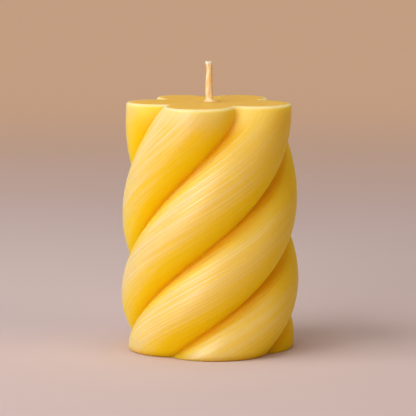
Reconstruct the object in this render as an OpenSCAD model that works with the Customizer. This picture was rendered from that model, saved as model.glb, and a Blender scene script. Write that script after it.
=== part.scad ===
// Twisted pillar candle: a five-strand wax pillar cast round a primed cotton wick.
// Millimetres, +Z up. The origin is the middle of the flat base.

/* [Pillar] */
// Height of the wax, from the base to the flat top
wax_height = 100; // [80:1:130]
// Radius over the strands at the widest place
belly_r = 35.9; // [34.5:0.1:42]
// Height of the widest place above the base
belly_height = 18; // [12:1:45]
// Radius over the strands at the top
rim_r = 33.7; // [30:0.1:36]
// Radius over the strands at the base
foot_r = 33.9; // [30:0.1:36]
// Rounding of the top edge
rim_round = 1.2; // [0.4:0.1:2.4]
// Rounding of the bottom edge
foot_round = 1; // [0.4:0.1:2.4]

/* [Strands] */
// Number of strands round the pillar
strand_count = 5; // [3:1:6]
// Turn of the strands from the base to the top, in degrees
twist_total = 204; // [140:1:280]
// Share of that turn by which the twist tightens towards the base
twist_tighten = 0.21; // [0:0.01:0.4]
// Turn that the strands give back as they straighten under the top edge, in degrees
rim_ease = 7.5; // [0:0.5:12]
// Length under the top edge over which they straighten
ease_len = 7; // [2:0.5:12]
// Direction of the first crease at the top, in degrees to the right of the front
top_turn = -35; // [-90:1:90]
// Radius where two strands would meet, as a share of the radius over them
crease_share = 0.72; // [0.6:0.01:0.85]
// The same share at the top, where the creases cut in
rim_crease_share = 0.49; // [0.42:0.01:0.8]
// The same share at the base, where the creases run out
foot_crease_share = 0.8; // [0.65:0.01:0.9]
// Length over which the creases change at the top or run out at the base
crease_fade = 5; // [2:0.5:12]
// Wax that rounds the bottom of a crease, as a share of a strand's height
crease_fill = 0.28; // [0.1:0.01:0.4]
// Flatness of a strand's outer face
strand_flat = 2; // [1.8:0.05:3]
// Steepness of a strand's flanks at the crease
strand_steep = 1.85; // [1.1:0.05:2.4]
// The same steepness at the top, where the flanks run softly into the notches
rim_steep = 1.3; // [1.1:0.05:2.4]
// Uneven spacing of the strands, in degrees
drift = 11; // [0:0.5:14]
// Direction in which the strands lie closest, in degrees to the right of the front
drift_side = -143; // [-180:1:180]

/* [Wick] */
// Radius of the braided cotton
wick_r = 1.15; // [0.8:0.05:1.8]
// Height of the wick's cut end above the wax
wick_stand = 16.3; // [10:0.1:24]
// How far the fibres fan out at the cut end
wick_fan = 0.55; // [0.4:0.05:0.9]
// Length of the fanned end
wick_tip_len = 2; // [1.2:0.1:3]
// Thickness of the priming wax on the braid
coat_wall = 0.22; // [0.12:0.02:0.5]
// Radius of the wax foot where the coat meets the top
coat_foot_r = 4.2; // [3:0.1:6]
// Height of that wax foot
coat_foot_h = 2.2; // [1.2:0.1:4]

/* [Wick tab] */
// Radius of the steel disc that anchors the wick
tab_r = 10; // [8:0.5:14]
// Thickness of the steel
tab_wall = 0.4; // [0.3:0.05:0.8]
// Height of the neck that grips the wick, above the disc
tab_neck_h = 6; // [3:0.5:10]
// Depth of the disc above the base plane
tab_recess = 0.3; // [0.1:0.05:1]
// Radius of the bend between disc and neck
tab_bend = 1; // [0.6:0.1:2]

/* [Fits] */
// Clearance between pieces that are set in one another
set_gap = 0.03; // [0.02:0.01:0.08]

/* [Hidden] */
$fn = 96;
// Overshoot of a cut past the face it opens
cut_past = 1;

// Colours of the pieces
wax_colour = [0.93, 0.68, 0.20];
steel_colour = [0.72, 0.73, 0.75];
cotton_colour = [0.94, 0.89, 0.76];
coat_colour = [0.88, 0.66, 0.28];

// Rings of the pillar: points round one strand, and levels up the height
strand_points = round(100 / strand_count);
ring_points = strand_points * strand_count;
body_levels = 44;
edge_levels = 3;
// Power by which a strand's face runs into the rounded crease
fill_power = 3;

// Levels between the two rounded edges, then the edges themselves
foot_levels = [for (k = [0 : edge_levels - 1]) foot_round * (1 - cos(90 * k / edge_levels))];
mid_span = wax_height - rim_round - foot_round;
mid_levels = [for (k = [0 : body_levels]) foot_round + mid_span * k / body_levels];
rim_levels = [for (k = [1 : edge_levels]) wax_height - rim_round * (1 - sin(90 * k / edge_levels))];
levels = concat(foot_levels, mid_levels, rim_levels);

// Heights and radii of the wick, its coat and the tab's neck
wick_top = wax_height + wick_stand;
wick_tip_r = wick_r + wick_fan;
tip_bevel = 0.35;
wick_foot = tab_recess;
fan_low = wick_top - wick_tip_len;
coat_top = fan_low - set_gap;
foot_edge = 0.15;
wick_hole_r = wick_r + set_gap;
coat_r = wick_hole_r + coat_wall;
neck_out = wick_hole_r + tab_wall;
neck_top = tab_recess + tab_wall + tab_neck_h;
coat_low = neck_top + set_gap;

// Radius over the strands at a height
function over_r(z) =
    z > belly_height
    ? belly_r - (belly_r - rim_r) * pow((z - belly_height) / (wax_height - belly_height), 2)
    : belly_r - (belly_r - foot_r) * pow((belly_height - z) / belly_height, 2);

// Radius where two strands would meet at a height, as a share
function share_at(z) =
    crease_share
    + (foot_crease_share - crease_share) * exp(-z / crease_fade)
    + (rim_crease_share - crease_share) * exp(-(wax_height - z) / crease_fade);

// Steepness of the flanks at a height
function steep_at(z) =
    strand_steep + (rim_steep - strand_steep) * exp(-(wax_height - z) / crease_fade);

// Turn of the strands at a height, in degrees from the front
function turn_at(z) =
    let (down = (wax_height - z) / wax_height)
    top_turn
    - twist_total * ((1 - twist_tighten) * down + twist_tighten * down * down)
    - rim_ease * exp(-down * wax_height / ease_len);

// Inward step of a rounded edge at a height
function edge_in(z) =
    let (over = max(0, (z - wax_height + rim_round) / rim_round))
    let (under = max(0, (foot_round - z) / foot_round))
    rim_round * (1 - sqrt(max(0, 1 - over * over)))
    + foot_round * (1 - sqrt(max(0, 1 - under * under)));

// Height of a strand's face, from 0 where two would meet to 1 at the crest, with the crease filled
function bare_face(u, z) = pow(max(0, 1 - pow(abs(u), strand_flat)), 1 / steep_at(z));
function filled(h) = pow(pow(h, fill_power) + pow(crease_fill, fill_power), 1 / fill_power);
function bulge(u, z) = filled(bare_face(u, z)) / filled(1);

// Place across a strand, from -1 to 1, closer spaced at the creases
function across(i) = sin(90 * (2 * (i % strand_points) / strand_points - 1));

// Direction of a ring point before the uneven spacing, in degrees
function plain_turn(i, z) =
    turn_at(z) + 360 / strand_count * (floor(i / strand_points) + (across(i) + 1) / 2);

function spaced_turn(a) = a - drift * sin(a - drift_side);

function ring_r(i, z) =
    over_r(z) * (share_at(z) + (1 - share_at(z)) * bulge(across(i), z)) - edge_in(z);

function ring_point(i, z) =
    let (a = spaced_turn(plain_turn(i, z)), r = ring_r(i, z))
    [r * sin(a), -r * cos(a), z];

// Closed twisted body as rings of points with a middle point on each end
module twisted_body() {
    last = len(levels) - 1;
    rings = [for (z = levels) for (i = [0 : ring_points - 1]) ring_point(i, z)];
    low_mid = len(rings);
    high_mid = low_mid + 1;
    sides = [
        for (j = [0 : last - 1])
        for (i = [0 : ring_points - 1])
        let (n = (i + 1) % ring_points)
        let (a = j * ring_points + i, b = j * ring_points + n)
        let (c = b + ring_points, d = a + ring_points)
        each [[a, d, b], [b, d, c]]
    ];
    low_end = [for (i = [0 : ring_points - 1]) [low_mid, i, (i + 1) % ring_points]];
    high_end = [
        for (i = [0 : ring_points - 1])
        let (a = last * ring_points + i, b = last * ring_points + (i + 1) % ring_points)
        [high_mid, b, a]
    ];
    polyhedron(
        points = concat(rings, [[0, 0, 0], [0, 0, wax_height]]),
        faces = concat(sides, low_end, high_end)
    );
}

// Round outline of the wick tab, grown by a margin for its seat in the wax
module tab_outline(margin) {
    bend_mid = neck_out + tab_bend;
    low = tab_recess + tab_wall + margin;
    bend = [
        for (a = [0 : 15 : 90])
        [bend_mid + margin - tab_bend * sin(a), low + tab_bend - tab_bend * cos(a)]
    ];
    polygon(concat(
        [[0, tab_recess - margin], [tab_r + margin, tab_recess - margin], [tab_r + margin, low]],
        bend,
        [[neck_out + margin, neck_top + margin], [0, neck_top + margin]]
    ));
}

// Wax pillar with the wick's channel and the seat of the tab
module wax_pillar() {
    color(wax_colour)
    difference() {
        twisted_body();
        translate([0, 0, -cut_past])
            cylinder(h = wax_height + 2 * cut_past, r = coat_r + set_gap);
        rotate_extrude()
            tab_outline(set_gap);
        translate([0, 0, -cut_past])
            cylinder(h = tab_recess + cut_past, r = tab_r + set_gap);
    }
}

// Stamped steel disc with the neck that holds the foot of the wick
module wick_tab() {
    color(steel_colour)
    difference() {
        rotate_extrude()
            tab_outline(0);
        translate([0, 0, -cut_past])
            cylinder(h = neck_top + 2 * cut_past, r = wick_hole_r);
    }
}

// Braided cotton wick with its fanned cut end
module wick() {
    color(cotton_colour)
    rotate_extrude()
        polygon([
            [0, wick_foot],
            [wick_r, wick_foot],
            [wick_r, fan_low],
            [wick_tip_r, wick_top - tip_bevel],
            [wick_tip_r - tip_bevel, wick_top],
            [0, wick_top]
        ]);
}

// Priming wax on the braid, with the foot where it spreads on the top
module wick_coat() {
    foot_run = coat_foot_r - coat_r;
    foot_rise = coat_foot_h - foot_edge;
    foot_curve = [
        for (a = [0 : 15 : 90])
        [coat_foot_r - foot_run * sin(a), wax_height + foot_edge + foot_rise * (1 - cos(a))]
    ];
    color(coat_colour)
    rotate_extrude()
        polygon(concat(
            [
                [wick_hole_r, coat_low],
                [coat_r, coat_low],
                [coat_r, wax_height],
                [coat_foot_r, wax_height]
            ],
            foot_curve,
            [[coat_r, coat_top], [wick_hole_r, coat_top]]
        ));
}

wax_pillar();
wick_tab();
wick();
wick_coat();
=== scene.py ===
"""Twisted pillar candle: the wax, wick, wick coat and tab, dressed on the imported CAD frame."""

import math
from types import SimpleNamespace

import bpy
import numpy as np
from bpy.props import FloatProperty, FloatVectorProperty, IntProperty, PointerProperty
from bpy.types import Operator, Panel, PropertyGroup
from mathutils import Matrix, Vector


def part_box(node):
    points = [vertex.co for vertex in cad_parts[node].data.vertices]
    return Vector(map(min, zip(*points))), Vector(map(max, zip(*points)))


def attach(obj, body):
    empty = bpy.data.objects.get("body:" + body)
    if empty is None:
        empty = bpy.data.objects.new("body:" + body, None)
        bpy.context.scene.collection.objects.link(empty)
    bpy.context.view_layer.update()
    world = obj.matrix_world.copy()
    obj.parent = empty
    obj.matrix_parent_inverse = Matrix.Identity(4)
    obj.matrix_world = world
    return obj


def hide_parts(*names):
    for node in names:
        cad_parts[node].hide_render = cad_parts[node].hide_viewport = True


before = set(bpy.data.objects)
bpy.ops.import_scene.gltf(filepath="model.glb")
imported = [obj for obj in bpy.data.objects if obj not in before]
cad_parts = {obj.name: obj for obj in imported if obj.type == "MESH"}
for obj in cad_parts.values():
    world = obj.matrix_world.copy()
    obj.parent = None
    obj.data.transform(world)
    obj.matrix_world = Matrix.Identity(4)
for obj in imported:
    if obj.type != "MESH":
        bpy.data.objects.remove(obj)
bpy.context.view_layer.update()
WAX_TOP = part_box("wax_pillar")[1].z
WICK_LOW, WICK_TOP = (corner.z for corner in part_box("wick"))
COAT_LOW, COAT_TOP = (corner.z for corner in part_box("wick_coat"))
COAT_FOOT_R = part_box("wick_coat")[1].x
TAB_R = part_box("wick_tab")[1].x
TAB_LOW, TAB_TOP = (corner.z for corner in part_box("wick_tab"))
MM = 0.001

bl_info = {
    "name": "Twisted pillar candle",
    "version": (1, 0, 0),
    "blender": (4, 5, 0),
    "location": "3D View > Sidebar > Candle",
    "description": "Builds a twisted wax pillar with its primed wick on the CAD frame",
    "category": "Add Mesh",
}


def length(name, words, value):
    """A length property in metres."""
    return FloatProperty(name=name, description=words, default=value, unit="LENGTH", precision=5)


def angle(name, words, degrees):
    """An angle property, given in degrees."""
    return FloatProperty(
        name=name, description=words, default=math.radians(degrees), subtype="ANGLE"
    )


def share(name, words, value):
    """A plain number property."""
    return FloatProperty(name=name, description=words, default=value)


def power(name, words, watts):
    """A lamp's power property."""
    return FloatProperty(name=name, description=words, default=watts, subtype="POWER")


def colour(name, words, value):
    """A scene-linear colour property."""
    return FloatVectorProperty(
        name=name, description=words, default=value, subtype="COLOR", size=3, min=0, max=1
    )


class PillarSizes(PropertyGroup):
    """Sizes of the wax pillar."""

    wax_height: length("Wax height", "From the base to the flat top", WAX_TOP)
    belly_r: length("Belly radius", "Radius over the strands at the widest", 35.9 * MM)
    belly_height: length("Belly height", "Height of the widest place", 18 * MM)
    rim_r: length("Rim radius", "Radius over the strands at the top", 33.7 * MM)
    foot_r: length("Foot radius", "Radius over the strands at the base", 33.9 * MM)
    rim_round: length("Rim rounding", "Rounding of the top edge", 1.2 * MM)
    foot_round: length("Foot rounding", "Rounding of the bottom edge", 1 * MM)


class StrandSizes(PropertyGroup):
    """Shape of the twisted strands."""

    count: IntProperty(
        name="Strands", description="Strands round the pillar", default=5, min=3, max=6
    )
    twist: angle("Twist", "Turn of the strands from base to top", 204)
    tighten: share("Tighten", "Share of the turn that tightens to the base", 0.21)
    rim_ease: angle("Rim ease", "Turn given back under the top edge", 7.5)
    ease_length: length("Ease length", "Length over which the strands straighten", 7 * MM)
    top_turn: angle("Top turn", "Direction of the first crease at the top", -35)
    crease: share("Crease", "Radius where strands would meet, as a share", 0.72)
    rim_crease: share("Rim crease", "The same share at the top", 0.49)
    foot_crease: share("Foot crease", "The same share at the base", 0.8)
    crease_fade: length("Crease fade", "Length over which creases change at an end", 5 * MM)
    fill: share("Fill", "Wax that rounds a crease, as a share of a strand's height", 0.28)
    fill_power: share("Fill power", "Power by which a face runs into the crease", 3)
    flat: share("Flatness", "Flatness of a strand's outer face", 2)
    steep: share("Steepness", "Steepness of the flanks at a crease", 1.85)
    rim_steep: share("Rim steepness", "The same at the top, where the flanks are softer", 1.3)
    drift: angle("Drift", "Uneven spacing of the strands", 11)
    drift_side: angle("Drift side", "Where the strands lie closest", -143)
    line_depth: length("Line depth", "Relief of the drawn lines", 0.09 * MM)
    line_lean: share("Line lean", "Extra turn of the drawn lines, radians per metre", 5)


class WickSizes(PropertyGroup):
    """Sizes of the wick and of its coat."""

    wick_r: length("Wick radius", "Radius of the braid", 1.15 * MM)
    fan: length("Fan", "How far the fibres fan out at the cut end", 0.55 * MM)
    fan_length: length("Fan length", "Length of the fanned end", 2 * MM)
    plait: length("Plait", "Length of one turn of the braid", 6.5 * MM)
    coat_r: length("Coat radius", "Radius over the priming wax", 1.4 * MM)
    foot_height: length("Coat foot", "Height of the foot of the coat", 2.2 * MM)
    gap: length("Gap", "Clearance between set pieces", 0.03 * MM)
    lean: length("Lean", "How far the free wick stands to the left", 0.5 * MM)


class TabSizes(PropertyGroup):
    """Sizes of the steel tab under the wick."""

    wall: length("Sheet", "Thickness of the steel", 0.4 * MM)
    bend: length("Bend", "Radius between disc and neck", 1 * MM)
    bead_r: length("Bead radius", "Radius of the pressed ring", 6.5 * MM)
    bead_height: length("Bead height", "Height of the pressed ring", 0.22 * MM)
    crimp: share("Crimp", "Share by which the neck is pinched", 0.05)


class Finishes(PropertyGroup):
    """Colours of the finishes, scene linear."""

    wax_yellow: colour("Wax", "Body colour of the wax", (0.88, 0.585, 0.012))
    # Bloom, much of it a painted highlight on the upper flanks toward the light
    wax_bloom: colour("Bloom", "Pale bloom on the upper flanks", (0.83, 0.66, 0.35))
    # Painted shade on the lower flanks, and a random change of tone in the body
    wax_amber: colour("Amber", "Deep colour on the lower flanks", (0.92, 0.61, 0.002))
    # Painted shade in the creases and on the far side at the foot, and a painted glow on the bottom
    # edge
    wax_orange: colour("Orange", "Deepest colour, in the creases", (0.83, 0.40, 0.001))
    # Real drawn lines, made paler toward the light as a painted highlight
    wax_thread: colour("Threads", "Fine cream lines along the strands", (0.86, 0.70, 0.38))
    # Smooth top, its duller tan partly a painted reflection of the surroundings
    wax_top_with_sheen: colour("Top", "Smooth top face", (0.85, 0.455, 0.044))
    wax_cloud: colour("Cloud", "Paler patches in the top face", (0.86, 0.485, 0.062))
    # Painted highlight where light catches the rounded top edge
    wax_rim_highlight: colour("Lip", "Thin pale line round the top edge", (0.94, 0.74, 0.40))
    coat_cream: colour("Coat", "Priming wax over the braid", (0.98, 0.83, 0.57))
    # Also painted shade on the wick's right side
    coat_amber: colour("Coat shade", "Priming wax in the hollows", (0.90, 0.50, 0.09))
    cotton: colour("Cotton", "Cotton of the wick", (0.96, 0.92, 0.82))
    cotton_shade: colour("Cotton shade", "Between the yarns", (0.86, 0.78, 0.62))
    steel: colour("Steel", "Tinned sheet", (0.60, 0.60, 0.61))
    steel_dull: colour("Dull steel", "Handled patches", (0.42, 0.41, 0.40))
    floor: colour("Floor", "Plain floor", (0.70, 0.585, 0.60))
    floor_soft: colour("Floor tone", "Soft change of tone", (0.67, 0.555, 0.57))
    wall: colour("Wall", "Plain wall behind the floor", (0.55, 0.34, 0.22))


class StageSettings(PropertyGroup):
    """Camera and lights."""

    camera_distance: length("Distance", "Camera to the wick's axis", 1051.6 * MM)
    camera_height: length("Height", "Camera above the floor", 201.9 * MM)
    camera_pitch: angle("Pitch", "Camera below level", 7.856)
    focal: FloatProperty(name="Focal length", description="Lens in mm", default=226.9)
    shift: share("Shift", "Sideways shift of the picture", -2.0 / 416)
    main_power: power("Main", "Power of the low light on the left", 10.5)
    upper_power: power("Upper", "Power of the high light on the left", 8.8)
    top_power: power("Top", "Power of the light overhead", 4.5)
    side_power: power("Side", "Power of the warm light on the right", 3.0)
    room_light: share("Room", "Strength of the room's light", 0.1)


class CandleSettings(PropertyGroup):
    """Everything a user would change."""

    pillar: PointerProperty(type=PillarSizes)
    strands: PointerProperty(type=StrandSizes)
    wick: PointerProperty(type=WickSizes)
    tab: PointerProperty(type=TabSizes)
    finish: PointerProperty(type=Finishes)
    stage: PointerProperty(type=StageSettings)


# Mesh helpers


def grid_faces(rows, cols, wrap_rows, wrap_cols):
    """Corner indices of the quads of a rows by cols grid, as an (n, 4) array.

    Each quad runs along the row, up one row, and back, so a grid whose rows climb on the
    outside and whose columns run anticlockwise seen from above faces outwards.
    """
    row_steps = rows if wrap_rows else rows - 1
    col_steps = cols if wrap_cols else cols - 1
    i, j = np.meshgrid(np.arange(row_steps), np.arange(col_steps), indexing="ij")
    below, above = i * cols, (i + 1) % rows * cols
    left, right = j, (j + 1) % cols
    quads = np.stack([below + left, below + right, above + right, above + left], -1)
    return quads.reshape(-1, 4)


def grid_corners(values):
    """Values given on a grid with one extra row and column, laid out per quad corner."""
    quads = np.stack([values[:-1, :-1], values[:-1, 1:], values[1:, 1:], values[1:, :-1]], 2)
    return quads.reshape(-1, values.shape[-1])


def mesh_piece(name, points, quads, uv=None, layers=None):
    """A smooth mesh object at the origin from a grid of points and quads (m, 4)."""
    mesh = bpy.data.meshes.new(name)
    mesh.vertices.add(points.size // 3)
    mesh.vertices.foreach_set("co", np.ascontiguousarray(points, np.float32).ravel())
    mesh.loops.add(quads.size)
    mesh.loops.foreach_set("vertex_index", np.ascontiguousarray(quads, np.int32).ravel())
    mesh.polygons.add(len(quads))
    mesh.polygons.foreach_set("loop_start", np.arange(0, quads.size, 4, dtype=np.int32))
    mesh.polygons.foreach_set("use_smooth", np.ones(len(quads), dtype=bool))
    if uv is not None:
        layer = mesh.uv_layers.new(name="surface")
        layer.data.foreach_set("uv", np.ascontiguousarray(uv, np.float32).ravel())
    for label, values in (layers or {}).items():
        data = mesh.attributes.new(label, "FLOAT", "POINT").data
        data.foreach_set("value", np.ascontiguousarray(values, np.float32).ravel())
    mesh.update(calc_edges=True)
    if mesh.validate():
        raise RuntimeError(f"{name} has faces that Blender had to repair")
    piece = bpy.data.objects.new(name, mesh)
    bpy.context.scene.collection.objects.link(piece)
    return piece


def seat(piece, node, material):
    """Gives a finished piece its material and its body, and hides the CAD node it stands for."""
    piece.data.materials.append(material)
    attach(piece, "root")
    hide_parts(node)


def smooth_step(low, high, x):
    """0 below low, 1 above high, and the usual smooth cubic in between."""
    t = np.clip((x - low) / (high - low), 0, 1)
    return t * t * (3 - 2 * t)


def ring_noise(seed, low, high, samples=4096):
    """One closed ring of noise, scaled to +-1, whose waves in a turn count from low to high.

    The waves' sizes are a bell over the logarithm of their count, and their phases are drawn.
    """
    draw = np.random.default_rng(seed)
    waves = np.arange(samples // 2 + 1)
    middle = math.log(math.sqrt(low * high))
    off = (np.log(waves + 1e-9) - middle) / math.log(high / low)
    size = np.where((waves < low * 0.5) | (waves > high * 1.5), 0, np.exp(-4 * off**2))
    phase = draw.uniform(0, 2 * np.pi, len(waves))
    ring = np.fft.irfft(size * np.exp(1j * phase), samples)
    return ring / np.abs(ring).max()


def sample_ring(ring, turn):
    """Reads a closed ring at directions in radians."""
    at = np.mod(turn / (2 * np.pi), 1) * len(ring)
    return np.interp(at, np.arange(len(ring) + 1), np.append(ring, ring[0]))


# Shape of the wax pillar

# Columns across a strand, rows up the side, on a rounded edge and down the channel
STRAND_COLUMNS = 160
SIDE_ROWS = 84
EDGE_ROWS = 6
CHANNEL_ROWS = 4
# Rows across the top and the base, as shares of the way out to the lobed edge
TOP_SHARES = (0.985, 0.93, 0.8, 0.6, 0.38, 0.18, 0.06, 0)
BASE_SHARES = (0.25, 0.6, 0.95)
# Share of the top's finish on the last row of the side and the first row of the top
TOP_ON_EDGE = 0.5
TOP_INSIDE = 0.92
# Rings of noise for the drawn lines: how many, the first seed, and the waves in a turn
LINE_RINGS = 7
LINE_SEED = 11
LINE_WAVES = (70, 260)
# Direction of the lit side, to the left of the front, which the painted highlight and painted shade
# on the wax follow
LIT_SIDE = math.radians(70)


class Twist:
    """The pillar's formulas, each taking whole arrays of heights in metres."""

    def __init__(self, settings):
        self.p = settings.pillar
        self.s = settings.strands

    def over(self, z):
        """Radius over the strands: a parabola up from the belly and another down from it."""
        p = self.p
        up = (z - p.belly_height) / (p.wax_height - p.belly_height)
        down = (p.belly_height - z) / p.belly_height
        above = p.belly_r - (p.belly_r - p.rim_r) * up**2
        below = p.belly_r - (p.belly_r - p.foot_r) * down**2
        return np.where(z > p.belly_height, above, below)

    def crease_share(self, z):
        """Share of the radius where strands meet: its own at each end, fading to the middle's."""
        s = self.s
        foot = (s.foot_crease - s.crease) * np.exp(-z / s.crease_fade)
        rim = (s.rim_crease - s.crease) * np.exp(-(self.p.wax_height - z) / s.crease_fade)
        return s.crease + foot + rim

    def turn(self, z):
        """Turn of the strands: part of it even, part tightening, with an ease under the rim."""
        s = self.s
        down = (self.p.wax_height - z) / self.p.wax_height
        even = s.twist * ((1 - s.tighten) * down + s.tighten * down**2)
        return s.top_turn - even - s.rim_ease * np.exp(-down * self.p.wax_height / s.ease_length)

    def spaced(self, a):
        """Directions shifted so that the strands crowd a little to one side."""
        return a - self.s.drift * np.sin(a - self.s.drift_side)

    def edge_in(self, z):
        """Inward step of the two rounded edges, each a quarter circle."""
        p = self.p
        over = np.clip((z - p.wax_height + p.rim_round) / p.rim_round, 0, 1)
        under = np.clip((p.foot_round - z) / p.foot_round, 0, 1)
        rim = p.rim_round * (1 - np.sqrt(1 - over**2))
        return rim + p.foot_round * (1 - np.sqrt(1 - under**2))

    def bulge(self, u, z):
        """Height of a strand's face, 1 at the crest, with wax that rounds the crease.

        The bare face is one less a power of the place across, under a root. The crease's
        fill is added to it as a power mean, so the two run into each other.
        """
        s = self.s
        rim = np.exp(-(self.p.wax_height - z) / s.crease_fade)
        steep = s.steep + (s.rim_steep - s.steep) * rim
        bare = np.clip(1 - np.abs(u) ** s.flat, 0, 1) ** (1 / steep)
        fill = s.fill**s.fill_power
        return ((bare**s.fill_power + fill) / (1 + fill)) ** (1 / s.fill_power)


def pillar_columns(count):
    """Places across the strands and directions of the columns, closer spaced at the creases."""
    q = np.linspace(-1, 1, STRAND_COLUMNS, endpoint=False)
    across = np.tile(0.5 * q + 0.5 * np.sin(q * np.pi / 2), count)
    strand = np.repeat(np.arange(count), STRAND_COLUMNS)
    return across, 2 * np.pi / count * (strand + (across + 1) / 2)


def drawn_lines(lean_turn, z, height):
    """Drawn lines from -1 to 1: rings of fine noise up the height that fade into each other."""
    total, weight = np.zeros(np.broadcast(lean_turn, z).shape), 0
    for k in range(LINE_RINGS):
        fade = np.clip(1 - np.abs(z / height * (LINE_RINGS - 1) - k), 0, 1)
        total = total + fade * sample_ring(ring_noise(LINE_SEED + k, *LINE_WAVES), lean_turn)
        weight = weight + fade
    return total / weight


def line_relief(settings, across, column, z):
    """Relief of the drawn lines on the wax: full on the upper flanks, calm near both ends."""
    p, s = settings.pillar, settings.strands
    calm = 1 - smooth_step(p.wax_height - 10 * MM, p.wax_height - 4 * MM, z)
    calm = calm * (0.2 + 0.8 * smooth_step(2 * MM, 16 * MM, z))
    flank = (1 - smooth_step(0.3, 0.85, across)) * smooth_step(-1.0, -0.85, across)
    strength = calm * (0.15 + 0.85 * flank[None, :])
    lines = drawn_lines(column[None, :] - s.line_lean * z, z, p.wax_height)
    return s.line_depth * lines * strength


def pillar_rows(p, w, t):
    """Rows of the pillar's closed section: heights, ring radii, outline shares, side rows.

    The section climbs the outside, crosses the top to the wick's channel, goes down the
    channel, round the tab's seat and back out along the base. Outline 1 is the lobed edge
    and 0 is a circle of the given radius.
    """
    h = p.wax_height
    channel = w.coat_r + w.gap
    neck = w.wick_r + w.gap + t.wall + w.gap
    seat_r = TAB_R + w.gap
    seat_z = TAB_LOW + t.wall + w.gap
    seat_top = TAB_TOP + w.gap
    turn = np.linspace(0, np.pi / 2, EDGE_ROWS)
    side_z = np.concatenate([
        p.foot_round * (1 - np.cos(turn[:-1])),
        np.linspace(p.foot_round, h - p.rim_round, SIDE_ROWS),
        h - p.rim_round * (1 - np.sin(turn[1:])),
    ])
    channel_z = np.linspace(h, seat_top, CHANNEL_ROWS)[1:]
    bend_in = 0.3 * t.bend
    seat_rows = np.array([
        [neck, seat_top],
        [neck, seat_z + t.bend],
        [neck + bend_in, seat_z + bend_in],
        [neck + t.bend, seat_z],
        [seat_r, seat_z],
        [seat_r, 0.0],
    ])
    n_side, n_top, n_base = len(side_z), len(TOP_SHARES), len(BASE_SHARES)
    n_channel = len(channel_z)
    z = np.concatenate([side_z, np.full(n_top, h), channel_z, seat_rows[:, 1], np.zeros(n_base)])
    ring = np.concatenate([
        np.zeros(n_side),
        np.full(n_top + n_channel, channel),
        seat_rows[:, 0],
        np.full(n_base, seat_r),
    ])
    plain = np.zeros(n_channel + len(seat_rows))
    outline = np.concatenate([np.ones(n_side), TOP_SHARES, plain, BASE_SHARES])
    return z, ring, outline, n_side


def wax_layers(p, z, way, across, side_rows):
    """Float layers that the wax material reads, on every point of the pillar's grid.

    Across runs from -1 to 1 over a strand. Top is the smooth faces. Rim, lip, sole and foot fade
    away from the top edge or the base. Side is the cosine of the turn from the lit side, by
    which the painted highlight and painted shade on the wax are laid.
    """
    top = np.zeros(way.shape)
    top[side_rows:] = 1
    top[side_rows - 1] = TOP_ON_EDGE
    top[side_rows] = TOP_INSIDE
    under_top = p.wax_height - z

    def fading(distance, full, gone):
        return np.broadcast_to(1 - smooth_step(full, gone, distance), way.shape)

    return {
        "across": np.broadcast_to(across, way.shape),
        "top": top,
        "rim": fading(under_top, 2 * MM, 13 * MM),
        "lip": fading(under_top, 0.2 * MM, 1.3 * MM),
        "side": np.cos(way + LIT_SIDE),
        "sole": fading(z, 0.6 * MM, 3 * MM),
        "foot": fading(z, 1 * MM, 14 * MM),
    }


def wax_pillar_piece(settings):
    """The wax: a lobed ring turned and scaled with height, closed through the channel.

    A point's radius mixes the strand outline and a circle by the row's outline share, and
    its direction is the column's plus the twist at that height.
    """
    p, s = settings.pillar, settings.strands
    shape = Twist(settings)
    across, column = pillar_columns(s.count)
    heights, ring, outline, side_rows = pillar_rows(p, settings.wick, settings.tab)
    z, out = heights[:, None], outline[:, None]
    share_in = shape.crease_share(z)
    strands = share_in + (1 - share_in) * shape.bulge(across[None, :], z)
    lobed = shape.over(z) * strands - shape.edge_in(z)
    on_side = (np.arange(len(heights)) < side_rows)[:, None]
    lobed = lobed + line_relief(settings, across, column, z) * on_side
    radius = ring[:, None] * (1 - out) + lobed * out
    way = shape.spaced(column[None, :] + shape.turn(z))
    points = np.stack([radius * np.sin(way), -radius * np.cos(way), z + 0 * way], -1)
    around = np.append(column, 2 * np.pi)[None, :]
    up = np.append(heights, heights[0])[:, None]
    uv = np.stack(np.broadcast_arrays((around - s.line_lean * up) * p.belly_r, up), -1)
    layers = wax_layers(p, z, way, across, side_rows)
    quads = grid_faces(*way.shape, True, True)
    piece = mesh_piece("wax_pillar_skin", points, quads, grid_corners(uv), layers)
    seat(piece, "wax_pillar", wax_material(settings.finish))


# Wick, coat and tab

# Rings along the tubes of the wick and sides round them
YARNS = 3
YARN_RINGS = 240
YARN_SIDES = 12
CORE_RINGS = 16
FIBRES = 170
FIBRE_RINGS = 7
FIBRE_SIDES = 5
# Rings of the coat under the wax, in its foot, on the free wick, and at the lip and inside
LOW_RINGS = 12
FOOT_RINGS = 14
STEM_RINGS = 59
INNER_RINGS = 5
COAT_SIDES = 48
TAB_SIDES = 96
# A yarn's radius and its two swings, as shares of the wick's radius
YARN_SHARE = 0.52
SIDE_SWING = 0.44
DEPTH_SWING = 0.36
FIBRE_R = 0.11 * MM
FIBRE_SEED = 5
# What is left of a tube's width at its closed end, squared
END_POINT = 0.0004


def wick_lean(settings, z):
    """Sideways place of the wick's middle: a soft step to the left above the wax, with a sway."""
    height = settings.pillar.wax_height
    t = np.clip((z - height) / (WICK_TOP - height), 0, 1)
    sway = 0.3 * np.sin(2.2 * np.pi * t) - 0.35 * t**2
    return -settings.wick.lean * (smooth_step(0, 0.3, t) + sway)


def tube(path, radius, sides, around, along):
    """A tube's points, quads and surface map: a level circle carried along a path."""
    turn = np.linspace(0, 2 * np.pi, sides, endpoint=False)
    ring = np.stack([np.cos(turn), np.sin(turn), np.zeros(sides)], -1)
    points = path[:, None, :] + radius[:, None, None] * ring[None, :, :]
    lay = np.stack(np.meshgrid(np.linspace(0, around, sides + 1), along), -1)
    return points.reshape(-1, 3), grid_faces(len(path), sides, False, True), grid_corners(lay)


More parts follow.
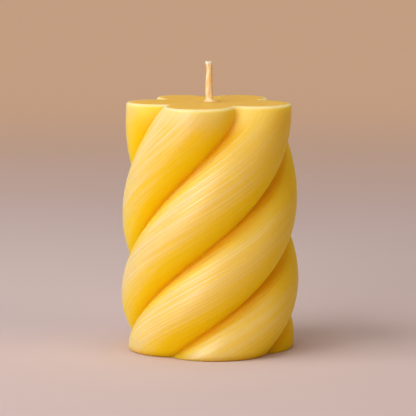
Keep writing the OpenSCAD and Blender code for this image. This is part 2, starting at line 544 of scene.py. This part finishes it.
def joined(parts):
    """Several tubes as one mesh, each one's corner indices moved past the points before it."""
    starts = np.cumsum([0] + [len(points) for points, _, _ in parts])
    points = np.concatenate([part[0] for part in parts])
    quads = np.concatenate([part[1] + start for part, start in zip(parts, starts)])
    return points, quads, np.concatenate([part[2] for part in parts])


def plaited_yarns(settings):
    """The yarns of the braid, a third of a turn apart.

    A yarn's middle swings sideways as a sine and to and fro at twice the rate, and both
    swings open at the cut end.
    """
    w = settings.wick
    z = np.linspace(WICK_LOW + 0.05 * MM, WICK_TOP - 0.25 * MM, YARN_RINGS)
    opened = smooth_step(WICK_TOP - w.fan_length, WICK_TOP, z)
    ends = np.sqrt(np.clip(np.minimum(z - z[0], z[-1] - z) / (0.2 * MM), END_POINT, 1))
    radius = YARN_SHARE * w.wick_r * (1 + 0.25 * opened) * ends
    swing = w.wick_r * (1 + 0.5 * opened)
    yarns = []
    for k in range(YARNS):
        phase = 2 * np.pi * (z / w.plait + k / YARNS)
        x = SIDE_SWING * swing * np.sin(phase) + wick_lean(settings, z)
        y = DEPTH_SWING * swing * np.sin(2 * phase)
        yarns.append(tube(np.stack([x, y, z], -1), radius, YARN_SIDES, 1, z / w.plait))
    return yarns


def tuft_core(settings, low):
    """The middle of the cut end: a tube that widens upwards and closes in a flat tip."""
    w = settings.wick
    tip = np.array([0.94, 0.66, 0.33, END_POINT])
    z = np.linspace(low, WICK_TOP - 0.12 * MM, CORE_RINGS)
    z = np.append(z, np.full(len(tip), WICK_TOP - 0.06 * MM))
    radius = 0.86 * w.wick_r + 0.75 * w.fan * smooth_step(low, WICK_TOP, z)
    radius = radius * np.append(np.ones(CORE_RINGS), tip)
    path = np.stack([wick_lean(settings, z), 0 * z, z], -1)
    return tube(path, radius, 2 * YARN_SIDES, 2, z / w.plait)


def tuft_fibres(settings, low):
    """Loose fibres at the cut end, each a thin tube that leans outwards as a parabola."""
    w = settings.wick
    draw = np.random.default_rng(FIBRE_SEED)
    way = draw.uniform(0, 2 * np.pi, FIBRES)[:, None]
    root = w.wick_r * draw.uniform(0.45, 0.95, FIBRES)[:, None]
    tall = draw.uniform(0.93, 1.0, FIBRES)[:, None]
    fan = w.fan * draw.uniform(0.6, 0.95, FIBRES)[:, None] * root / w.wick_r
    t = np.linspace(0, 1, FIBRE_RINGS)
    reach = root + fan * t**2
    height = low + (WICK_TOP - low) * (tall * t)
    x = reach * np.cos(way) + wick_lean(settings, height)
    paths = np.stack([x, reach * np.sin(way), height], -1)
    radius = FIBRE_R * np.sqrt(np.clip(1.0 - t**6, END_POINT, 1))
    return [tube(path, radius, FIBRE_SIDES, 1, t) for path in paths]


def wick_piece(settings):
    """The cotton: three yarns plaited along the wick, and a tuft of fibres at the cut end."""
    low = WICK_TOP - 1.3 * settings.wick.fan_length
    parts = plaited_yarns(settings)
    parts.append(tuft_core(settings, low))
    parts.extend(tuft_fibres(settings, low))
    piece = mesh_piece("wick_braid", *joined(parts))
    seat(piece, "wick", cotton_material(settings.finish))


def wick_coat_piece(settings):
    """The priming wax: a sleeve that follows the plait softly and spreads in a foot on the top.

    The outer radius is the sleeve's, less a shallow hollow between the yarns, plus a foot that
    falls away from the wick on a quarter ellipse. The inner wall closes the sleeve.
    """
    p, w = settings.pillar, settings.wick
    inner = w.wick_r + w.gap
    stem_r = w.coat_r - 0.06 * MM
    foot_edge = 0.02 * MM
    depth = 0.12 * MM
    lump_length = 4.3 * MM
    turn = np.linspace(0, 2 * np.pi, COAT_SIDES, endpoint=False)[None, :]
    quarter = np.linspace(0, np.pi / 2, FOOT_RINGS)
    rise, run = 1 - np.cos(quarter), 1 - np.sin(quarter)
    low_z = np.linspace(COAT_LOW, p.wax_height - 0.2 * MM, LOW_RINGS)
    foot_z = p.wax_height + foot_edge + (w.foot_height - foot_edge) * rise
    stem_z = np.linspace(p.wax_height + w.foot_height, COAT_TOP - 0.25 * MM, STEM_RINGS + 1)[1:]
    lip_z = np.full(2, COAT_TOP - 0.05 * MM)
    inner_z = low_z[[-1, LOW_RINGS // 2, 0]]
    z = np.concatenate([low_z, foot_z, stem_z, lip_z, inner_z])[:, None]
    radius = np.concatenate([
        np.full(LOW_RINGS, w.coat_r),
        stem_r + (COAT_FOOT_R - stem_r) * run**1.25,
        np.full(STEM_RINGS, stem_r),
        [stem_r - 0.1 * MM],
        np.full(INNER_RINGS - 1, inner),
    ])[:, None]
    buried, closed = np.zeros(LOW_RINGS), np.zeros(INNER_RINGS)
    free = np.concatenate([buried, rise, np.ones(STEM_RINGS), closed])[:, None]
    foot = np.concatenate([buried, run, np.zeros(STEM_RINGS), closed])[:, None]
    plait = 2 * np.pi * z / w.plait
    lobes = 0.5 + 0.5 * np.sin(2 * turn - plait + 0.6 * np.sin(turn + 0.5 * plait))
    hollow = depth * free * (1 - lobes)
    lump = 0.04 * MM * free * np.sin(2 * np.pi * z / lump_length + 2 * np.cos(turn))
    ring_r = radius - hollow + lump
    x = ring_r * np.cos(turn) + wick_lean(settings, z)
    points = np.stack([x, ring_r * np.sin(turn), z + 0 * ring_r], -1)
    along = np.append(z, z[0]) / w.plait
    uv = np.stack(np.meshgrid(np.linspace(0, 1, COAT_SIDES + 1), along), -1)
    # Painted shade: amber on the wick's right side, away from the light, carried in the hollow
    # layer
    painted_side_shade = free * np.clip(np.cos(turn + 0.5), 0, 1)
    layers = {
        "hollow": np.clip(hollow / depth + painted_side_shade, 0, 1),
        "foot": np.broadcast_to(foot, ring_r.shape),
    }
    quads = grid_faces(len(z), COAT_SIDES, True, True)
    piece = mesh_piece("wick_coat_skin", points, quads, grid_corners(uv), layers)
    seat(piece, "wick_coat", coat_material(settings.finish))


def wick_tab_piece(settings):
    """The steel tab: a closed section turned about the wick, its neck pinched to an oval."""
    t, w = settings.tab, settings.wick
    hole = w.wick_r + w.gap
    neck = hole + t.wall
    sheet_top = TAB_LOW + t.wall
    soft = 0.12 * MM
    hole_edge = 0.05 * MM
    bead_half = 0.9 * MM
    turn = np.linspace(0, 2 * np.pi, TAB_SIDES, endpoint=False)
    bead = np.linspace(-1, 1, 9)
    bead_r = t.bead_r + bead * bead_half
    bead_z = t.bead_height * (0.5 + 0.5 * np.cos(np.pi * bead))
    bend = np.linspace(0, np.pi / 2, 7)
    bend_r = neck + t.bend - t.bend * np.sin(bend)
    bend_z = sheet_top + t.bend * (1 - np.cos(bend))
    section = np.concatenate([
        [[hole, TAB_LOW], [hole + 0.3 * MM, TAB_LOW]],
        np.stack([bead_r, TAB_LOW + bead_z], -1),
        [[TAB_R - soft, TAB_LOW], [TAB_R, TAB_LOW + soft]],
        [[TAB_R, sheet_top - soft], [TAB_R - soft, sheet_top]],
        np.stack([bead_r[::-1], sheet_top + bead_z[::-1]], -1),
        np.stack([bend_r, bend_z], -1),
        [[neck, TAB_TOP - soft], [neck - soft, TAB_TOP], [hole + hole_edge, TAB_TOP]],
        [[hole, TAB_TOP - hole_edge], [hole, 0.5 * (TAB_TOP + TAB_LOW)]],
    ])
    r, z = section[:, :1], section[:, 1:]
    high = smooth_step(sheet_top + t.wall + t.bend, TAB_TOP, z)
    outside = r > hole + 2 * hole_edge
    pinch = 1 - t.crimp * high * np.cos(2 * turn)[None, :] ** 2 * outside
    points = np.stack([r * pinch * np.cos(turn), r * pinch * np.sin(turn), z + 0 * pinch], -1)
    along = np.arange(len(section) + 1) / len(section)
    uv = np.stack(np.meshgrid(np.linspace(0, 1, TAB_SIDES + 1), along), -1)
    quads = grid_faces(len(section), TAB_SIDES, True, True)
    piece = mesh_piece("wick_tab_skin", points, quads, grid_corners(uv))
    seat(piece, "wick_tab", steel_material(settings.finish))


# Materials


def new_material(name):
    """An empty node material with its Principled shader and output."""
    material = bpy.data.materials.new(name)
    material.use_nodes = True
    return material, material.node_tree, material.node_tree.nodes["Principled BSDF"]


def add(tree, kind, **values):
    """A node with the given properties."""
    made = tree.nodes.new(kind)
    for key, value in values.items():
        setattr(made, key, value)
    return made


def feed(tree, socket, value):
    """Sets an input socket to a number or a colour, or links it to an output socket."""
    if isinstance(value, bpy.types.NodeSocket):
        tree.links.new(value, socket)
    else:
        socket.default_value = value


def calc(tree, operation, *values):
    """A math node whose inputs are numbers or sockets; returns its output."""
    made = add(tree, "ShaderNodeMath", operation=operation)
    for socket, value in zip(made.inputs, values):
        feed(tree, socket, value)
    return made.outputs[0]


def times(tree, first, *others):
    """A product of sockets and numbers."""
    for other in others:
        first = calc(tree, "MULTIPLY", first, other)
    return first


def scaled(tree, value, factor, start):
    """A value times a factor, plus a start."""
    return calc(tree, "MULTIPLY_ADD", value, factor, start)


def dress(tree, shader, values):
    """Sets the shader's own sockets by name, to plain values or linked sockets."""
    for key, value in values.items():
        feed(tree, shader.inputs[key], value)


def mix_colour(tree, factor, a, b):
    """A colour mix whose factor is a socket and whose colours are values or sockets."""
    made = add(tree, "ShaderNodeMix", data_type="RGBA")
    tree.links.new(factor, made.inputs["Factor"])
    for socket, value in ((made.inputs[6], a), (made.inputs[7], b)):
        feed(tree, socket, value if isinstance(value, bpy.types.NodeSocket) else (*value, 1))
    return made.outputs[2]


def ramp(tree, factor, stops):
    """A grey ramp of (place, value) stops, read at the factor."""
    made = add(tree, "ShaderNodeValToRGB")
    band = made.color_ramp
    band.interpolation = "EASE"
    while len(band.elements) < len(stops):
        band.elements.new(0.5)
    for element, (place, value) in zip(band.elements, stops):
        element.position = place
        element.color = (value, value, value, 1)
    tree.links.new(factor, made.inputs[0])
    return made.outputs[0]


def layer(tree, name):
    """One of the piece's own float layers."""
    return add(tree, "ShaderNodeAttribute", attribute_name=name).outputs["Fac"]


def surface_map(tree):
    """The piece's own surface coordinates."""
    return add(tree, "ShaderNodeUVMap", uv_map="surface").outputs[0]


def own_place(tree):
    """The piece's own object coordinates."""
    return add(tree, "ShaderNodeTexCoord").outputs["Object"]


def new_group(name, inputs, outputs):
    """A shader node group with its sockets; returns the tree and its two end nodes."""
    tree = bpy.data.node_groups.new(name, "ShaderNodeTree")
    for label, kind, value in inputs:
        socket = tree.interface.new_socket(label, in_out="INPUT", socket_type=kind)
        if value is not None:
            socket.default_value = value
    for label, kind in outputs:
        tree.interface.new_socket(label, in_out="OUTPUT", socket_type=kind)
    return tree, add(tree, "NodeGroupInput"), add(tree, "NodeGroupOutput")


def place_group(tree, group, **values):
    """A group node in a material, with its inputs set by name."""
    made = add(tree, "ShaderNodeGroup", node_tree=group)
    for key, value in values.items():
        feed(tree, made.inputs[key], value)
    return made


def noise_node(tree, vector, scale, detail, roughness, dimensions):
    """A noise texture on a vector."""
    made = add(tree, "ShaderNodeTexNoise", noise_dimensions=dimensions)
    tree.links.new(vector, made.inputs["Vector"])
    for key, value in (("Scale", scale), ("Detail", detail), ("Roughness", roughness)):
        feed(tree, made.inputs[key], value)
    return made.outputs["Fac"]


def spread(tree, value, low, high):
    """A value stretched so that low becomes 0 and high becomes 1, with smooth ends."""
    made = add(tree, "ShaderNodeMapRange", interpolation_type="SMOOTHSTEP")
    tree.links.new(value, made.inputs["Value"])
    made.inputs["From Min"].default_value = low
    made.inputs["From Max"].default_value = high
    return made.outputs[0]


def drawn_lines_group():
    """Long thin streaks on a surface map: noise squeezed across them and drawn out along them."""
    name = "Drawn lines"
    if name in bpy.data.node_groups:
        return bpy.data.node_groups[name]
    inputs = [
        ("Vector", "NodeSocketVector", None),
        ("Across", "NodeSocketFloat", 900.0),
        ("Along", "NodeSocketFloat", 30.0),
    ]
    outputs = [
        ("Mask", "NodeSocketFloat"),
        ("Thread", "NodeSocketFloat"),
        ("Height", "NodeSocketFloat"),
    ]
    tree, start, end = new_group(name, inputs, outputs)
    scale = add(tree, "ShaderNodeCombineXYZ")
    tree.links.new(start.outputs["Across"], scale.inputs[0])
    tree.links.new(start.outputs["Along"], scale.inputs[1])
    stretched = add(tree, "ShaderNodeVectorMath", operation="MULTIPLY")
    tree.links.new(start.outputs["Vector"], stretched.inputs[0])
    tree.links.new(scale.outputs[0], stretched.inputs[1])
    fine = noise_node(tree, stretched.outputs[0], 1.0, 3.0, 0.55, "2D")
    broad = noise_node(tree, stretched.outputs[0], 0.23, 2.0, 0.5, "2D")
    mask = spread(tree, scaled(tree, broad, 0.6, fine), 0.62, 1.0)
    tree.links.new(mask, end.inputs["Mask"])
    thin = noise_node(tree, stretched.outputs[0], 1.4, 2.0, 0.5, "2D")
    tree.links.new(spread(tree, thin, 0.46, 0.62), end.inputs["Thread"])
    tree.links.new(fine, end.inputs["Height"])
    return tree


def cloud_group():
    """Soft cloudy change of tone, on the piece's own coordinates."""
    name = "Wax cloud"
    if name in bpy.data.node_groups:
        return bpy.data.node_groups[name]
    inputs = [("Vector", "NodeSocketVector", None), ("Scale", "NodeSocketFloat", 60.0)]
    tree, start, end = new_group(name, inputs, [("Mask", "NodeSocketFloat")])
    noise = noise_node(tree, start.outputs["Vector"], start.outputs["Scale"], 4.0, 0.5, "3D")
    tree.links.new(spread(tree, noise, 0.32, 0.68), end.inputs["Mask"])
    return tree


def bump(tree, shader, height, distance, strength):
    """Feeds a height into the shader's normal."""
    made = add(tree, "ShaderNodeBump")
    made.inputs["Distance"].default_value = distance
    made.inputs["Strength"].default_value = strength
    tree.links.new(height, made.inputs["Height"])
    tree.links.new(made.outputs[0], shader.inputs["Normal"])


# Ramps over the place across a strand, from its upper left crease at 0 to its lower right at 1
# Bloom and its painted highlight on the upper flank
BLOOM_HIGHLIGHT_RAMP = (
    (0, 0), (0.08, 0.12), (0.19, 0.95), (0.4, 0.8), (0.64, 0.22), (0.76, 0), (1, 0)
)
# Painted shade on the lower flank and by the creases
FLANK_SHADE_RAMP = (
    (0, 0.7), (0.03, 0.35), (0.08, 0.02), (0.5, 0), (0.72, 0.45), (0.9, 0.95), (1, 1)
)
THREAD_RAMP = ((0, 0), (0.07, 0.4), (0.17, 1), (0.5, 0.8), (0.75, 0.3), (0.9, 0))
# Painted shade in the creases
CREASE_SHADE_RAMP = ((0, 0.75), (0.05, 0.6), (0.14, 0), (0.95, 0), (0.99, 0.45), (1, 0.75))
GLOSS_RAMP = (
    (0, 0), (0.1, 0.45), (0.2, 1), (0.42, 0.9), (0.62, 0.45), (0.8, 0.08), (1, 0)
)
# Ramp over the foot of the coat, from its thin part at 0 to its edge at 1
FOOT_RAMP = ((0.15, 0), (0.8, 0.9))
WAX_LAYERS = ("across", "top", "rim", "lip", "side", "sole", "foot")


def wax_masks(tree, lines):
    """Masks of the wax, worked out from the piece's own layers and the drawn lines.

    Bloom with a painted highlight, threads and gloss lie on the upper flank of a strand, and
    painted shade on its lower flank and in the creases. All are a ramp across the strand times
    a line pattern, weaker on the side away from the light, where the ramps also slide across
    the strand.
    """
    m = SimpleNamespace(**{name: layer(tree, name) for name in WAX_LAYERS})
    streak, fine = lines.outputs["Mask"], lines.outputs["Thread"]
    across = scaled(tree, m.across, 0.5, 0.5)
    # Ends of the strands without lines, and the sides of the pillar toward and away from the light,
    # by which highlight and shade are painted
    m.smooth = calc(tree, "MAXIMUM", m.rim, m.foot)
    away = calc(tree, "MINIMUM", calc(tree, "ADD", m.side, 0.4), 0.0)
    toward = calc(tree, "MAXIMUM", calc(tree, "SUBTRACT", m.side, 0.75), 0.0)
    # The ramps slide across the strand on the lit and far sides, so the painted highlight and shade
    # sit where the light falls
    lit_across = scaled(tree, toward, -0.6, scaled(tree, away, 0.5, across))
    light_facing = calc(tree, "MAXIMUM", scaled(tree, m.side, 0.48, 0.52), 0.15)
    # Painted shade: amber on the lower flanks and orange in the creases, less under the top edge
    low = ramp(tree, across, FLANK_SHADE_RAMP)
    m.deep = times(tree, low, scaled(tree, m.rim, -0.4, 1.0))
    m.crease = times(tree, ramp(tree, across, CREASE_SHADE_RAMP), scaled(tree, m.rim, -0.85, 1.0))
    # Painted shade: orange on the side away from the light, strongest at the foot
    m.shade = times(tree, away, scaled(tree, m.foot, -0.8, -0.35))
    # Painted glow: orange along the bottom edge, standing in for red light that scatters out of the
    # wax there
    m.base_edge = times(tree, m.sole, 0.7)
    # Bloom in streaks with a painted highlight, paler toward the light, and a painted glow in a
    # plain band under the top edge, weaker away from the light
    drawn = calc(tree, "MAXIMUM", scaled(tree, streak, 0.6, 0.4), times(tree, m.smooth, 0.7))
    bloom = times(tree, ramp(tree, lit_across, BLOOM_HIGHLIGHT_RAMP), drawn, light_facing)
    rim_glow_side = calc(tree, "MINIMUM", scaled(tree, m.side, 0.95, 0.7), 0.85)
    rim_glow_side = calc(tree, "MAXIMUM", rim_glow_side, 0.0)
    band = times(tree, m.rim, scaled(tree, low, -0.7, 0.85), rim_glow_side)
    m.bloom = calc(tree, "MAXIMUM", bloom, band)
    # Cream threads, real drawn lines made paler toward the light by a painted highlight, and gloss,
    # which keep a little more on the far side
    light_facing = calc(tree, "MAXIMUM", light_facing, 0.27)
    thread = times(tree, ramp(tree, across, THREAD_RAMP), fine)
    thread = times(tree, thread, scaled(tree, m.smooth, -0.65, 0.65))
    m.thread = times(tree, thread, light_facing, scaled(tree, streak, 0.5, 0.6))
    sheen = calc(tree, "MAXIMUM", scaled(tree, fine, 0.85, 0.15), times(tree, m.smooth, 0.35))
    gloss = times(tree, sheen, ramp(tree, lit_across, GLOSS_RAMP), scaled(tree, m.top, -0.9, 1.0))
    m.gloss = times(tree, gloss, calc(tree, "MINIMUM", scaled(tree, light_facing, 1.2, 0.1), 1.0))
    return m


def wax_colour(tree, f, m, cloud):
    """Colour of the wax: the body, then each mask's own colour laid over it in turn."""
    body = mix_colour(tree, times(tree, cloud, 0.15), f.wax_yellow, f.wax_amber)
    over = (
        # Painted shade: amber on the lower flanks, orange in the creases and on the far side at the
        # foot
        (m.deep, f.wax_amber),
        (m.crease, f.wax_orange),
        (m.shade, f.wax_orange),
        # Bloom with its painted highlight and the painted glow under the top edge
        (m.bloom, f.wax_bloom),
        # Real cream threads, partly a painted highlight toward the light
        (m.thread, f.wax_thread),
        # Painted highlight on the top edge
        (m.lip, f.wax_rim_highlight),
        # Painted glow on the bottom edge
        (m.base_edge, f.wax_orange),
        # The top, its duller tan partly a painted reflection
        (m.top, mix_colour(tree, cloud, f.wax_top_with_sheen, f.wax_cloud)),
    )
    for mask, tone in over:
        body = mix_colour(tree, mask, body, tone)
    return body


def wax_material(f):
    """Beeswax: pale drawn bloom with a painted highlight on upper flanks, painted shade in amber by
    the creases, a smooth tan top with a painted reflection in it.
    """
    material, tree, shader = new_material("beeswax")
    own = surface_map(tree)
    lines = place_group(tree, drawn_lines_group(), Vector=own, Across=1000.0, Along=26.0)
    cloud = place_group(tree, cloud_group(), Vector=own_place(tree), Scale=55.0).outputs["Mask"]
    m = wax_masks(tree, lines)
    dress(tree, shader, {
        "Base Color": wax_colour(tree, f, m, cloud),
        "Roughness": scaled(tree, m.top, -0.06, scaled(tree, m.bloom, 0.06, 0.42)),
        "Coat Weight": m.gloss,
        "Coat Roughness": 0.42,
        "Coat IOR": 2.1,
        "Sheen Weight": 0.04,
        "Sheen Roughness": 0.4,
        "Sheen Tint": (1.0, 0.85, 0.55, 1),
        "Subsurface Weight": 1.0,
        "Subsurface Radius": (1.0, 0.95, 0.15),
        "Subsurface Scale": 9 * MM,
        "Specular IOR Level": 0.06,
        "IOR": 1.44,
    })
    lined = calc(tree, "SUBTRACT", 1.0, calc(tree, "MAXIMUM", m.top, m.smooth))
    relief = times(tree, lines.outputs["Height"], lined)
    bump(tree, shader, scaled(tree, cloud, m.top, relief), 0.3 * MM, 0.6)
    return material


def coat_material(f):
    """Priming wax: cream where it is thin on the yarns, amber where it fills the hollows and as
    painted shade on the wick's right side.
    """
    material, tree, shader = new_material("priming_wax")
    own = surface_map(tree)
    cloud = place_group(tree, cloud_group(), Vector=own_place(tree), Scale=420.0)
    lines = place_group(tree, drawn_lines_group(), Vector=own, Across=14.0, Along=2.5)
    patch = times(tree, cloud.outputs["Mask"], 0.25)
    hollow = calc(tree, "MAXIMUM", times(tree, layer(tree, "hollow"), 0.7), patch)
    body = mix_colour(tree, hollow, f.coat_cream, f.coat_amber)
    # The foot fades into the top's colour, whose duller tan is partly a painted reflection
    spread_out = ramp(tree, layer(tree, "foot"), FOOT_RAMP)
    body = mix_colour(tree, spread_out, body, f.wax_top_with_sheen)
    dull = scaled(tree, lines.outputs["Mask"], 0.2, 0.35)
    dress(tree, shader, {"Base Color": body, "Roughness": dull})
    bump(tree, shader, lines.outputs["Height"], 0.05 * MM, 0.5)
    return material


def cotton_material(f):
    """Cotton yarn: soaked with wax below and dry at the cut end, darker between its fibres."""
    material, tree, shader = new_material("cotton")
    own = surface_map(tree)
    lines = place_group(tree, drawn_lines_group(), Vector=own, Across=26.0, Along=4.0)
    place = add(tree, "ShaderNodeSeparateXYZ")
    tree.links.new(own_place(tree), place.inputs[0])
    tip = spread(tree, place.outputs["Z"], WICK_TOP - 1.9 * MM, WICK_TOP - 0.5 * MM)
    soaked = mix_colour(tree, lines.outputs["Mask"], f.coat_amber, f.coat_cream)
    dry = mix_colour(tree, lines.outputs["Mask"], f.cotton_shade, f.cotton)
    body = mix_colour(tree, tip, soaked, dry)
    dress(tree, shader, {"Base Color": body, "Roughness": 0.9, "Sheen Weight": 0.3})
    bump(tree, shader, lines.outputs["Height"], 0.1 * MM, 0.7)
    return material


def steel_material(f):
    """Tinned sheet: bright with dull handled patches and fine drawn marks."""
    material, tree, shader = new_material("tab_steel")
    own = own_place(tree)
    cloud = place_group(tree, cloud_group(), Vector=own, Scale=260.0)
    lines = place_group(tree, drawn_lines_group(), Vector=own, Across=9000.0, Along=250.0)
    body = mix_colour(tree, cloud.outputs["Mask"], f.steel, f.steel_dull)
    dull = scaled(tree, lines.outputs["Mask"], 0.2, 0.28)
    dress(tree, shader, {"Base Color": body, "Roughness": dull, "Metallic": 1.0})
    bump(tree, shader, lines.outputs["Height"], 0.02 * MM, 0.4)
    return material


def floor_material(f):
    """Plain pale floor; the wall behind it glows in its own colour for the camera and for gloss."""
    material, tree, shader = new_material("plain_floor")
    own = own_place(tree)
    cloud = place_group(tree, cloud_group(), Vector=own, Scale=2.0)
    body = mix_colour(tree, cloud.outputs["Mask"], f.floor, f.floor_soft)
    dress(tree, shader, {"Base Color": body, "Roughness": 0.9, "Specular IOR Level": 0.1})
    rays = add(tree, "ShaderNodeLightPath")
    seen = calc(tree, "MAXIMUM", rays.outputs["Is Camera Ray"], rays.outputs["Is Glossy Ray"])
    place = add(tree, "ShaderNodeSeparateXYZ")
    tree.links.new(own, place.inputs[0])
    back = spread(tree, place.outputs["Y"], WALL_FADE_START, WALL_FADE_END)
    glow = add(tree, "ShaderNodeEmission")
    glow.inputs["Color"].default_value = (*f.wall, 1)
    mixed = add(tree, "ShaderNodeMixShader")
    tree.links.new(times(tree, back, seen), mixed.inputs[0])
    tree.links.new(shader.outputs[0], mixed.inputs[1])
    tree.links.new(glow.outputs[0], mixed.inputs[2])
    tree.links.new(mixed.outputs[0], tree.nodes["Material Output"].inputs["Surface"])
    return material


# Stage

# Floor and wall in metres: front edge, start and radius of the sweep, top of the wall, half
# the width, and where the floor's look fades into the wall's
FLOOR_FRONT = -2.0
SWEEP_START = 0.9
SWEEP_R = 0.6
WALL_TOP = 2.0
HALF_WIDTH = 2.5
WALL_FADE_START = 0.2
WALL_FADE_END = 1.1
# Lamps: where they aim, and their tints
LAMP_AIM = (0, 0, 0.05)
DAY_TINT = (1.0, 0.96, 0.90)
WARM_TINT = (1.0, 0.75, 0.42)
ROOM_TINT = (1.0, 0.92, 0.84, 1)


def backdrop(settings):
    """Floor and wall in one sweep: a line, a quarter circle and a line, carried sideways."""
    bend = np.linspace(0, np.pi / 2, 24)
    y = np.concatenate([
        [FLOOR_FRONT], SWEEP_START + SWEEP_R * np.sin(bend), [SWEEP_START + SWEEP_R]
    ])
    z = np.concatenate([[0.0], SWEEP_R * (1 - np.cos(bend)), [WALL_TOP]])
    x = np.linspace(-HALF_WIDTH, HALF_WIDTH, 9)
    points = np.stack(np.broadcast_arrays(x[None, :], y[:, None], z[:, None]), -1)
    quads = grid_faces(len(y), len(x), False, False)
    made = mesh_piece("floor_sweep", points, quads)
    made.data.materials.append(floor_material(settings.finish))


def soft_light(name, place, size, watts, tint):
    """A square area light that points at the candle."""
    lamp = bpy.data.lights.new(name, "AREA")
    lamp.energy, lamp.size, lamp.color = watts, size, tint
    made = bpy.data.objects.new(name, lamp)
    made.location = place
    made.rotation_euler = (Vector(LAMP_AIM) - Vector(place)).to_track_quat("-Z", "Y").to_euler()
    bpy.context.scene.collection.objects.link(made)


def camera_and_lights(settings):
    """The camera at the photographed angle, two lamps left, one overhead and a weak one right."""
    g = settings.stage
    scene = bpy.context.scene
    lens = bpy.data.cameras.new("camera")
    lens.sensor_width, lens.lens, lens.shift_x = 36.0, g.focal, g.shift
    lens.clip_start, lens.clip_end = 0.01, 20.0
    made = bpy.data.objects.new("camera", lens)
    made.location = (0, -g.camera_distance, g.camera_height)
    made.rotation_euler = (math.pi / 2 - g.camera_pitch, 0, 0)
    scene.collection.objects.link(made)
    scene.camera = made
    soft_light("main_light", (-0.70, -1.08, 0.23), 0.7, g.main_power, DAY_TINT)
    soft_light("upper_light", (-0.80, -0.34, 1.02), 0.8, g.upper_power, DAY_TINT)
    soft_light("top_light", (0.0, 0.0, 1.35), 0.7, g.top_power, DAY_TINT)
    soft_light("side_light", (0.92, -0.60, 0.72), 0.7, g.side_power, WARM_TINT)
    world = bpy.data.worlds.new("room")
    scene.world = world
    world.use_nodes = True
    room = world.node_tree.nodes["Background"]
    room.inputs["Color"].default_value = ROOM_TINT
    room.inputs["Strength"].default_value = g.room_light
    scene.view_settings.view_transform = "Standard"


# Add-on


class CANDLE_OT_stage(Operator):
    """Adds the camera, the lights and the plain floor"""

    bl_idname = "candle.stage"
    bl_label = "Stage"

    def execute(self, context):
        camera_and_lights(context.scene.candle)
        backdrop(context.scene.candle)
        return {"FINISHED"}


class CANDLE_OT_wax_pillar(Operator):
    """Adds the twisted wax pillar"""

    bl_idname = "candle.wax_pillar"
    bl_label = "Wax pillar"

    def execute(self, context):
        wax_pillar_piece(context.scene.candle)
        return {"FINISHED"}


class CANDLE_OT_wick(Operator):
    """Adds the braided cotton wick with its fanned end"""

    bl_idname = "candle.wick"
    bl_label = "Wick"

    def execute(self, context):
        wick_piece(context.scene.candle)
        return {"FINISHED"}


class CANDLE_OT_wick_coat(Operator):
    """Adds the priming wax on the wick"""

    bl_idname = "candle.wick_coat"
    bl_label = "Wick coat"

    def execute(self, context):
        wick_coat_piece(context.scene.candle)
        return {"FINISHED"}


class CANDLE_OT_wick_tab(Operator):
    """Adds the steel tab in the base"""

    bl_idname = "candle.wick_tab"
    bl_label = "Wick tab"

    def execute(self, context):
        wick_tab_piece(context.scene.candle)
        return {"FINISHED"}


STEPS = (
    CANDLE_OT_stage,
    CANDLE_OT_wax_pillar,
    CANDLE_OT_wick,
    CANDLE_OT_wick_coat,
    CANDLE_OT_wick_tab,
)
GROUPS = ("pillar", "strands", "wick", "tab", "finish", "stage")


class CANDLE_PT_panel(Panel):
    """Lists the candle's steps and sizes"""

    bl_idname = "CANDLE_PT_panel"
    bl_label = "Candle"
    bl_space_type = "VIEW_3D"
    bl_region_type = "UI"
    bl_category = "Candle"

    def draw(self, context):
        for step in STEPS:
            self.layout.operator(step.bl_idname)
        for name in GROUPS:
            group = getattr(context.scene.candle, name)
            box = self.layout.box()
            for key in group.__annotations__:
                box.prop(group, key)


CLASSES = (
    PillarSizes,
    StrandSizes,
    WickSizes,
    TabSizes,
    Finishes,
    StageSettings,
    CandleSettings,
    *STEPS,
    CANDLE_PT_panel,
)


def register():
    for kind in CLASSES:
        bpy.utils.register_class(kind)
    bpy.types.Scene.candle = PointerProperty(type=CandleSettings)


def unregister():
    del bpy.types.Scene.candle
    for kind in reversed(CLASSES):
        bpy.utils.unregister_class(kind)


def main():
    """Registers the add-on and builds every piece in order."""
    register()
    bpy.ops.candle.stage()
    bpy.ops.candle.wax_pillar()
    bpy.ops.candle.wick()
    bpy.ops.candle.wick_coat()
    bpy.ops.candle.wick_tab()
    bpy.context.view_layer.update()


if __name__ == "__main__":
    main()
